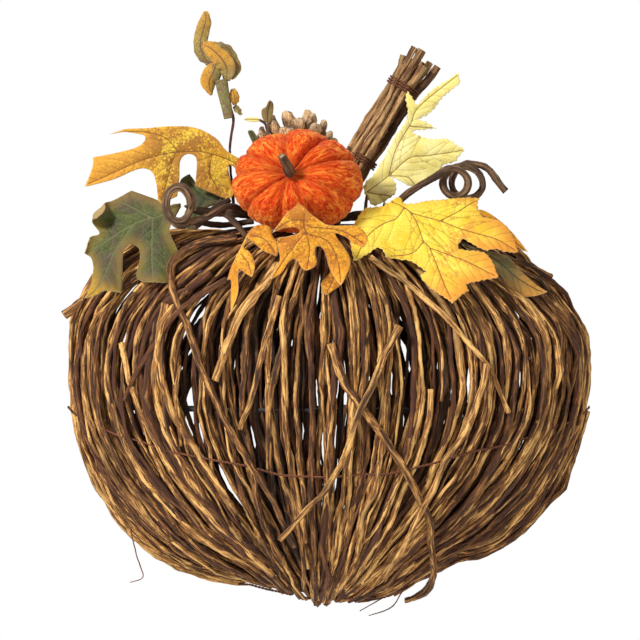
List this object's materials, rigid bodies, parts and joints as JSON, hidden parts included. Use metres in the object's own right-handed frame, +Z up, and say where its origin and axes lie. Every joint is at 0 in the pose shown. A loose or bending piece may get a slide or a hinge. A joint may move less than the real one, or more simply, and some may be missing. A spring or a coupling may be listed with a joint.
{
  "type": "harvest door wreath",
  "caption": "Pumpkin-shaped door wreath of bound vines on a wire frame, with a stick stem, autumn leaves, a velvet pumpkin, a pinecone and curled tendrils.",
  "frame": {"origin": "the point on the door where the wreath hangs, level with the top of the back ring", "axes": "+Z up the door, -Y out of the door towards the viewer, +X to the viewer's right"},
  "size_m": [0.4006, 0.1471, 0.454],
  "materials": {
    "vine_bark": "rough flaky bark",
    "dark_vine_bark": "rough dark bark",
    "stem_bark": "grooved bark with pale cut ends",
    "tendril_bark": "smooth dark bark",
    "frame_wire": "dull dark wire",
    "binding_wire": "twisted copper-brown wire",
    "velvet": "crushed velvet",
    "pinecone_scales": "dry woody scales",
    "gold_leaf": "printed polyester, mottled gold and brown",
    "green_leaf": "printed polyester, mottled green",
    "dark_green_leaf": "printed polyester, dark olive",
    "yellow_leaf": "printed polyester, yellow with orange edges",
    "pale_leaf": "printed polyester, pale yellow",
    "olive_leaf": "printed polyester, olive to orange",
    "orange_leaf": "printed polyester, orange with brown edges"
  },
  "bodies": {
    "root": {"back_ring": "frame_wire", "back_vine_1": "dark_vine_bark", "back_vine_2": "dark_vine_bark", "back_vine_3": "dark_vine_bark", "back_vine_4": "dark_vine_bark", "bottom_binding_left": "binding_wire", "bottom_binding_right": "binding_wire", "crossing_vine_center": "vine_bark", "crossing_vine_diagonal": "vine_bark", "crossing_vine_left": "vine_bark", "crossing_vine_right": "vine_bark", "dark_green_leaf": "dark_green_leaf", "green_leaf": "green_leaf", "left_tendril": "tendril_bark", "olive_leaf": "olive_leaf", "orange_edge_leaf": "orange_leaf", "outer_loop_vine": "vine_bark", "pale_maple_leaf": "pale_leaf", "pick_stem": "tendril_bark", "pinecone": "pinecone_scales", "rib_wire_center": "frame_wire", "rib_wire_left": "frame_wire", "rib_wire_right": "frame_wire", "right_tendril": "tendril_bark", "shoulder_vine": "vine_bark", "small_brown_leaf": "olive_leaf", "small_orange_leaf": "orange_leaf", "stem_stick_1": "stem_bark", "stem_stick_2": "stem_bark", "stem_stick_3": "stem_bark", "stem_stick_4": "stem_bark", "stem_stick_5": "stem_bark", "stem_stick_6": "stem_bark", "stem_stick_7": "stem_bark", "stem_tie_lower": "binding_wire", "stem_tie_upper": "binding_wire", "top_binding": "binding_wire", "velvet_pumpkin": "velvet", "velvet_pumpkin_stem": "tendril_bark", "vine_bundle_01": "vine_bark", "vine_bundle_02": "vine_bark", "vine_bundle_03": "vine_bark", "vine_bundle_04": "vine_bark", "vine_bundle_05": "vine_bark", "vine_bundle_06": "vine_bark", "vine_bundle_07": "vine_bark", "vine_bundle_08": "vine_bark", "vine_bundle_09": "vine_bark", "vine_bundle_10": "vine_bark", "vine_bundle_11": "vine_bark", "vine_bundle_12": "vine_bark", "waist_binding": "binding_wire", "waist_brace": "frame_wire", "waist_hoop": "frame_wire"},
    "gold_oak_leaf": {"gold_oak_leaf": "gold_leaf"},
    "hanger_loop": {"hanger_loop": "frame_wire"},
    "leaf_spray": {"leaf_spray": "olive_leaf"},
    "orange_oak_leaf": {"orange_oak_leaf": "orange_leaf"},
    "small_gold_leaf": {"small_gold_leaf": "gold_leaf"},
    "yellow_maple_leaf": {"yellow_maple_leaf": "yellow_leaf"}
  },
  "joints": [
    {"name": "gold_oak_leaf_bend", "type": "hinge", "parent": "root", "child": "gold_oak_leaf", "pos_m": [-0.06182, -0.0455, 0.01212], "axis": [0.4832, -0.11, 0.8686], "range_deg": [0, 25]},
    {"name": "yellow_maple_leaf_bend", "type": "hinge", "parent": "root", "child": "yellow_maple_leaf", "pos_m": [0.0361, -0.09569, 0.02048], "axis": [-0.6239, -0.4012, -0.6707], "range_deg": [0, 25]},
    {"name": "orange_oak_leaf_bend", "type": "hinge", "parent": "root", "child": "orange_oak_leaf", "pos_m": [-0.00658, -0.14659, 0.00495], "axis": [-0.9945, -0.0494, 0.0926], "range_deg": [0, 30]},
    {"name": "small_gold_leaf_bend", "type": "hinge", "parent": "root", "child": "small_gold_leaf", "pos_m": [-0.04595, -0.12601, -0.00503], "axis": [-0.9047, 0.1842, 0.3841], "range_deg": [0, 30]},
    {"name": "leaf_spray_bend", "type": "hinge", "parent": "root", "child": "leaf_spray", "pos_m": [-0.0715, -0.042, 0.0119], "axis": [0.9959, -0.0032, 0.0904], "range_deg": [-15, 0]},
    {"name": "hanger_loop_swing", "type": "hinge", "parent": "root", "child": "hanger_loop", "pos_m": [0, -0.0045, 0], "axis": [1, 0, 0], "range_deg": [-90, 20]}
  ]
}
